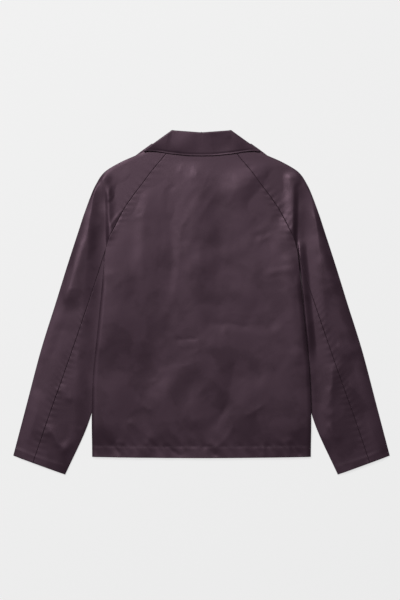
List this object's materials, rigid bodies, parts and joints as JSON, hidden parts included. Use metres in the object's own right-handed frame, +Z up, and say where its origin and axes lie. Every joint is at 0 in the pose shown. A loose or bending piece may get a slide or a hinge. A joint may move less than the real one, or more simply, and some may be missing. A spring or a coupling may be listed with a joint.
{
  "type": "zip jacket, laid flat",
  "caption": "Satin zip jacket lying flat, back up: raglan sleeves, folded shirt collar, plain stitched hem and cuffs, zipped front with a swinging pull tab.",
  "frame": {"origin": "on the ground under the middle of the jacket's outline", "axes": "+Z up out of the back of the jacket, +Y towards the collar, +X towards the wearer's right sleeve"},
  "size_m": [0.792, 0.7238, 0.013],
  "materials": {
    "satin": "dark aubergine satin with a soft sheen",
    "zip_tape": "matt woven tape",
    "zip_metal": "satin nickel"
  },
  "bodies": {
    "jacket": {"back": "satin", "front_left": "satin", "front_right": "satin", "sleeve_back_left": "satin", "sleeve_back_right": "satin", "sleeve_under_left": "satin", "sleeve_under_right": "satin", "sleeve_front_left": "satin", "sleeve_front_right": "satin", "collar_back": "satin", "collar_front_left": "satin", "collar_front_right": "satin", "zip_tape_left": "zip_tape", "zip_tape_right": "zip_tape", "zip_teeth_left": "zip_metal", "zip_teeth_right": "zip_metal", "zip_bottom_box": "zip_metal", "zip_slider": "zip_metal"},
    "pull_tab": {"zip_pull_tab": "zip_metal"}
  },
  "joints": [
    {"name": "pull_tab_swing", "type": "hinge", "parent": "jacket", "child": "pull_tab", "pos_m": [0, 0.226, 0.0019], "axis": [1, 0, 0], "range_deg": [0, 170]}
  ]
}
